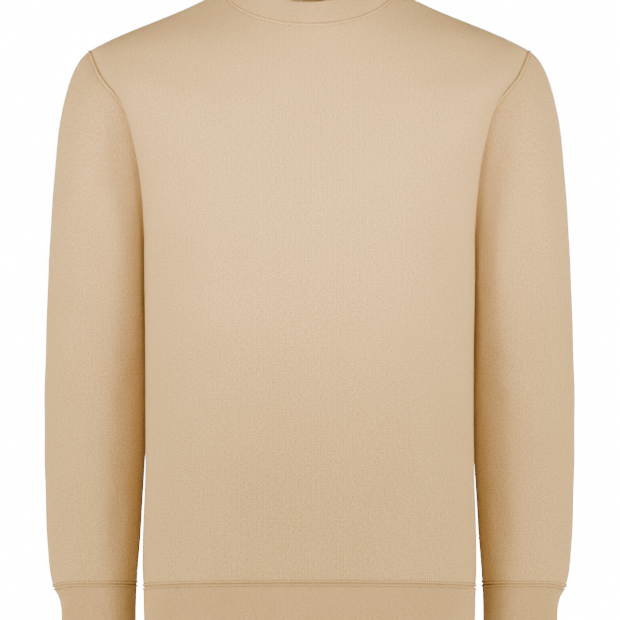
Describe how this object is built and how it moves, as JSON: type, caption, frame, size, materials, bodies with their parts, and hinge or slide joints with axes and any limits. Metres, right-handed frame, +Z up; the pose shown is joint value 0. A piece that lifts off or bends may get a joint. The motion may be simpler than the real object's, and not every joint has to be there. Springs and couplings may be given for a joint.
{
  "type": "crewneck sweatshirt",
  "caption": "Long-sleeved crewneck sweatshirt, hollow and filled out as if worn, with rib-knit collar, cuffs and hem band.",
  "frame": {"origin": "midway between the two neck points, where the shoulder seams meet the neck seam; the wearer's shoulders hold the garment there", "axes": "+Z up, +X towards the wearer's left, -Y out of the front"},
  "size_m": [0.5758, 0.273, 0.7449],
  "materials": {
    "fleece": "matte brushed cotton fleece, fine jersey face",
    "rib": "matte fine rib knit"
  },
  "bodies": {
    "root": {"front_panel": "fleece", "back_panel": "fleece", "sleeve_left": "fleece", "sleeve_right": "fleece", "cuff_left": "rib", "cuff_right": "rib", "hem_band": "rib", "collar": "rib"}
  },
  "joints": []
}
